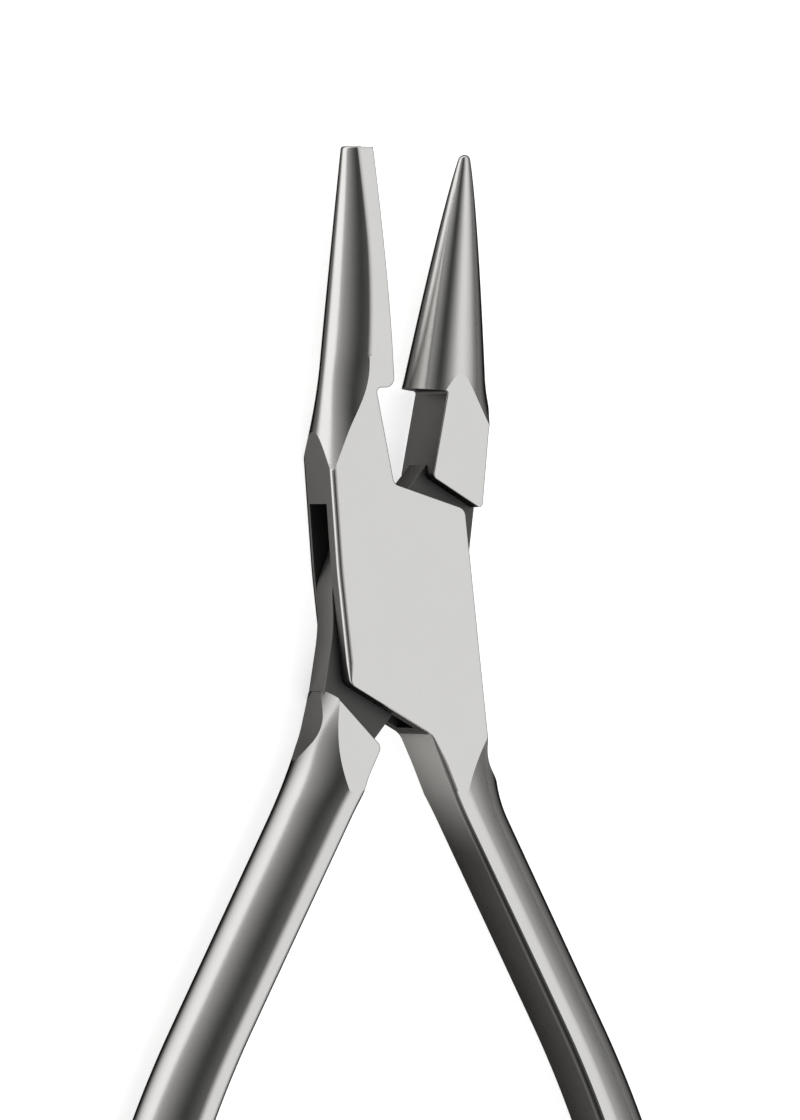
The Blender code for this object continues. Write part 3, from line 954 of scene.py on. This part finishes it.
@dataclass(frozen=True)
class SteelFinish:
    """A steel surface: its colour, gloss and polishing marks."""

    name: str
    colour: tuple[float, float, float]
    roughness: float
    across: float = 9.0
    along: float = 0.7
    clouds: float = 0.18
    colour_spread: float = 0.08
    gloss_spread: float = 0.10
    depth: float = 0.002
    # Painted shade at a round's outline: the factor on the colour there, and the facing values between
    # which it eases in.
    rim_shade: float = 1.0
    rim_shade_start: float = 0.34
    rim_shade_end: float = 0.50
    # Specular Tint; below 1 it darkens the grazing reflection, which paints shade at the outline too.
    tint: float = 1.0
    crown: float = 1.0
    crown_span: tuple[float, float] = (-13.0, -20.0)
    # Painted light near the joint: the factor on the colour there, and the heights where it eases in.
    root_light_gain: float = 1.0
    root_light_span: tuple[float, float] = (-27.0, -15.0)
    haze_share: float = 0.6
    bump: float = 0.5

    def material(self) -> bpy.types.Material:
        """Return the finish as a material. Marks are counted per millimetre.

        Towards the outline of a round the colour is multiplied by the rim shade value, painted shade in
        place of the shaded floor that such an edge would mirror; a Specular Tint below 1 darkens the
        grazing reflection as painted shade too. Near the joint the colour is multiplied by the root gain,
        painted light that brightens the inner face there. The crown value multiplies the slope of the
        normals, so that a back looks more arched. The spans are heights along the tool where a value
        eases in.
        """
        material = bpy.data.materials.new(self.name)
        material.use_nodes = True
        n = Nodes(material.node_tree)
        shader = material.node_tree.nodes["Principled BSDF"]
        shader.inputs["Metallic"].default_value = 1.0
        place = n.add("ShaderNodeTexCoord")
        marks = n.add("ShaderNodeGroup", node_tree=PolishGroup.get())
        n.link(place.outputs["Object"], marks.inputs["Place"])
        marks.inputs["Across"].default_value = self.across / MM
        marks.inputs["Along"].default_value = self.along / MM
        marks.inputs["Clouds"].default_value = self.clouds / MM
        both = n.math("ADD", n.math("MULTIPLY", marks.outputs["Haze"], self.haze_share),
                      n.math("MULTIPLY", marks.outputs["Streaks"], 1 - self.haze_share))
        shade = n.add("ShaderNodeMix", data_type="RGBA")
        shade.inputs["A"].default_value = (*(c * (1 - self.colour_spread) for c in self.colour), 1)
        shade.inputs["B"].default_value = (*(c * (1 + self.colour_spread) for c in self.colour), 1)
        n.link(both, shade.inputs["Factor"])
        # Painted shade: the colour darkens towards the outline of a round, in place of the shaded floor
        # that such an edge would mirror.
        facing = n.add("ShaderNodeLayerWeight")
        facing.inputs["Blend"].default_value = 0.5
        edge = n.ease(facing.outputs["Facing"], (self.rim_shade_start, self.rim_shade_end), (1.0, self.rim_shade))
        split = n.add("ShaderNodeSeparateXYZ")
        n.link(place.outputs["Object"], split.inputs[0])
        # Painted light: the colour brightens towards the joint.
        span = (self.root_light_span[0] * MM, self.root_light_span[1] * MM)
        root = n.ease(split.outputs["Y"], span, (1.0, self.root_light_gain))
        rim_shaded = n.add("ShaderNodeVectorMath", operation="SCALE")
        n.link(shade.outputs["Result"], rim_shaded.inputs[0])
        n.link(n.math("MULTIPLY", edge, root), rim_shaded.inputs["Scale"])
        n.link(rim_shaded.outputs[0], shader.inputs["Base Color"])
        # A Specular Tint below 1 darkens the grazing reflection: painted shade along the outline.
        shader.inputs["Specular Tint"].default_value = (self.tint, self.tint, self.tint, 1)
        swing = n.math("MULTIPLY", n.math("SUBTRACT", both, 0.5), self.gloss_spread)
        n.link(n.math("ADD", swing, self.roughness), shader.inputs["Roughness"])
        bump = n.add("ShaderNodeBump")
        bump.inputs["Strength"].default_value = self.bump
        bump.inputs["Distance"].default_value = self.depth * MM
        n.link(marks.outputs["Streaks"], bump.inputs["Height"])
        geometry = n.add("ShaderNodeNewGeometry")
        sloped = n.add("ShaderNodeVectorMath", operation="MULTIPLY")
        n.link(geometry.outputs["Normal"], sloped.inputs[0])
        span = (self.crown_span[0] * MM, self.crown_span[1] * MM)
        arch = n.ease(split.outputs["Y"], span, (1.0, self.crown))
        factors = n.add("ShaderNodeCombineXYZ")
        n.link(arch, factors.inputs["X"])
        n.link(arch, factors.inputs["Y"])
        factors.inputs["Z"].default_value = 1.0
        n.link(factors.outputs[0], sloped.inputs[1])
        arched = n.add("ShaderNodeVectorMath", operation="NORMALIZE")
        n.link(sloped.outputs[0], arched.inputs[0])
        n.link(arched.outputs[0], bump.inputs["Normal"])
        n.link(bump.outputs["Normal"], shader.inputs["Normal"])
        return material


FINISHES = {
    # The rim shade and tint of the rounds are painted shade along their outlines.
    Surface.ROUND: SteelFinish("polished_round_steel", (0.66, 0.65, 0.635), 0.20, across=6, along=0.25,
                               rim_shade=0.24, tint=0.12),
    Surface.FLAT: SteelFinish("satin_ground_steel", (0.705, 0.70, 0.685), 0.32, across=5, along=2.0),
    Surface.FACET: SteelFinish("satin_facet_steel", (0.69, 0.685, 0.67), 0.28, across=6, along=0.5),
    # The wall colour is painted shade: ground steel darkened as if it mirrored the shaded floor beside the
    # tool.
    Surface.WALL: SteelFinish("side_steel_painted_shade", (0.19, 0.186, 0.181), 0.40, across=2, along=8,
                              tint=0.1),
    # The slot colour is painted shade: the slot, the neck plate in it and the pin's side are darkened as
    # deep shadow.
    Surface.SLOT: SteelFinish("slot_steel_painted_shade", (0.11, 0.109, 0.107), 0.5, across=4, along=4, tint=0.1),
    # The inner colour is painted shade, as if the inner faces mirrored the shaded floor; its root gain is
    # painted light near the joint.
    Surface.INNER: SteelFinish("inner_steel_painted_shade", (0.12, 0.117, 0.113), 0.38, across=5, along=1.0,
                               tint=0.1, root_light_gain=3.6),
    # The crown's rim shade darkens much of the back towards its outline, and its tint darkens the grazing
    # reflection: painted shade.
    Surface.CROWN: SteelFinish("polished_back_steel", (0.66, 0.65, 0.635), 0.20, across=6, along=0.25,
                               rim_shade=0.12, rim_shade_start=0.03, rim_shade_end=0.55, tint=0.2, crown=1.85),
}


class FinishSet:
    """The materials of all finishes, made once and shared by the pieces."""

    def __init__(self) -> None:
        """Make one material for each finish."""
        self.materials = {surface: finish.material() for surface, finish in FINISHES.items()}

    def dress(self, item: bpy.types.Object) -> None:
        """Put the materials in an object's slots."""
        for surface, material in self.materials.items():
            item.data.materials[surface] = material


@dataclass(frozen=True)
class Studio:
    """The floor, the soft lights and the camera at the photograph's angle."""

    tilt: float = 24.0
    distance: float = 1500.0
    frame_height: float = 112.0
    sensor: float = 36.0
    aim: tuple[float, float, float] = (1.127, 3.7, 4.0)
    sun_strength: float = 0.5
    sun_width: float = 40.0
    sun_turn: tuple[float, float] = (38.0, -8.0)
    floor_size: float = 4.0
    floor_drop: float = 0.02
    floor_colour: float = 0.93
    floor_roughness: float = 0.9
    floor_lift: float = 0.7
    clip: tuple[float, float] = (0.01, 10.0)
    bands: tuple[tuple[float, float], ...] = (
        (-130, 0.20), (-96, 0.30), (-74, 0.23), (-57, 0.62), (-41, 0.88), (-30, 1.0), (-18, 1.0),
        (-13, 0.92), (-8, 0.85), (0, 0.60), (12, 0.34), (25, 0.12), (40, 0.03), (52, 0.14),
        (65, 0.28), (77, 0.41), (90, 0.60), (100, 0.66))

    def floor(self) -> None:
        """Make the pale floor, which camera and mirror rays see brighter."""
        place = (0, 0, -self.floor_drop * MM)
        bpy.ops.mesh.primitive_plane_add(size=self.floor_size, location=place)
        plane = bpy.context.object
        plane.name = "floor"
        material = bpy.data.materials.new("pale_floor")
        material.use_nodes = True
        n = Nodes(material.node_tree)
        shader = material.node_tree.nodes["Principled BSDF"]
        shader.inputs["Base Color"].default_value = (*[self.floor_colour] * 3, 1)
        shader.inputs["Roughness"].default_value = self.floor_roughness
        shader.inputs["Specular IOR Level"].default_value = 0.0
        path = n.add("ShaderNodeLightPath")
        seen = n.math("MAXIMUM", path.outputs["Is Camera Ray"], path.outputs["Is Glossy Ray"])
        seen = n.math("MAXIMUM", seen, path.outputs["Is Transmission Ray"])
        shader.inputs["Emission Color"].default_value = (1, 1, 1, 1)
        n.link(n.math("MULTIPLY", seen, self.floor_lift), shader.inputs["Emission Strength"])
        plane.data.materials.append(material)

    def sky(self) -> None:
        """Light the scene by bands along Y.

        A direction's band is its angle from straight up, positive to the left, atan2(-x, z).
        """
        world = bpy.data.worlds.new("studio")
        bpy.context.scene.world = world
        world.use_nodes = True
        n = Nodes(world.node_tree)
        background = world.node_tree.nodes["Background"]
        place = n.add("ShaderNodeTexCoord")
        split = n.add("ShaderNodeSeparateXYZ")
        n.link(place.outputs["Generated"], split.inputs[0])
        left = n.math("MULTIPLY", split.outputs["X"], -1.0)
        angle = n.math("ARCTAN2", left, split.outputs["Z"])
        share = n.math("ADD", n.math("DIVIDE", angle, math.tau), 0.5)
        ramp = n.add("ShaderNodeValToRGB")
        elements = ramp.color_ramp.elements
        while len(elements) < len(self.bands):
            elements.new(0.5)
        for element, (degrees, level) in zip(elements, self.bands):
            element.position = degrees / 360 + 0.5
            element.color = (level, level, level, 1)
        n.link(share, ramp.inputs["Fac"])
        n.link(ramp.outputs["Color"], background.inputs["Color"])

    def sun(self) -> None:
        """Add the soft lamp that lights the floor from the handles' side."""
        lamp = bpy.data.lights.new("soft_lamp", "SUN")
        lamp.energy = self.sun_strength
        lamp.angle = math.radians(self.sun_width)
        item = bpy.data.objects.new("soft_lamp", lamp)
        item.rotation_euler = (*(math.radians(turn) for turn in self.sun_turn), 0)
        item.visible_glossy = False
        bpy.context.scene.collection.objects.link(item)

    def camera(self) -> None:
        """Set the camera, tilted to the left by the photograph's angle."""
        data = bpy.data.cameras.new("camera")
        data.sensor_fit = "AUTO"
        data.sensor_width = self.sensor
        data.lens = self.sensor * self.distance / self.frame_height
        data.clip_start, data.clip_end = self.clip
        item = bpy.data.objects.new("camera", data)
        a = math.radians(self.tilt)
        back = np.array([-math.sin(a), 0.0, math.cos(a)])
        item.location = (np.array(self.aim) + back * self.distance) * MM
        item.rotation_euler = (0, -a, 0)
        bpy.context.scene.collection.objects.link(item)
        bpy.context.scene.camera = item

    def build(self) -> None:
        """Build the studio."""
        self.floor()
        self.sky()
        self.sun()
        self.camera()
        bpy.context.scene.view_settings.view_transform = "Standard"


def main() -> None:
    """Build every piece, dress it and set up the studio."""
    logging.basicConfig(level=logging.INFO, format="%(name)s: %(message)s")
    joint = JointSizes()
    outlines = GroundOutline(joint, HandleShape(joint), BluntJaw(joint), RoundJaw(joint))
    finishes = FinishSet()
    for maker in (OuterHalf(outlines), InnerHalf(outlines), JointPin(joint)):
        piece = maker.build()
        finishes.dress(piece)
        LOG.info("%s: %d faces", piece.name, len(piece.data.polygons))
    Studio().build()


if __name__ == "__main__":
    main()
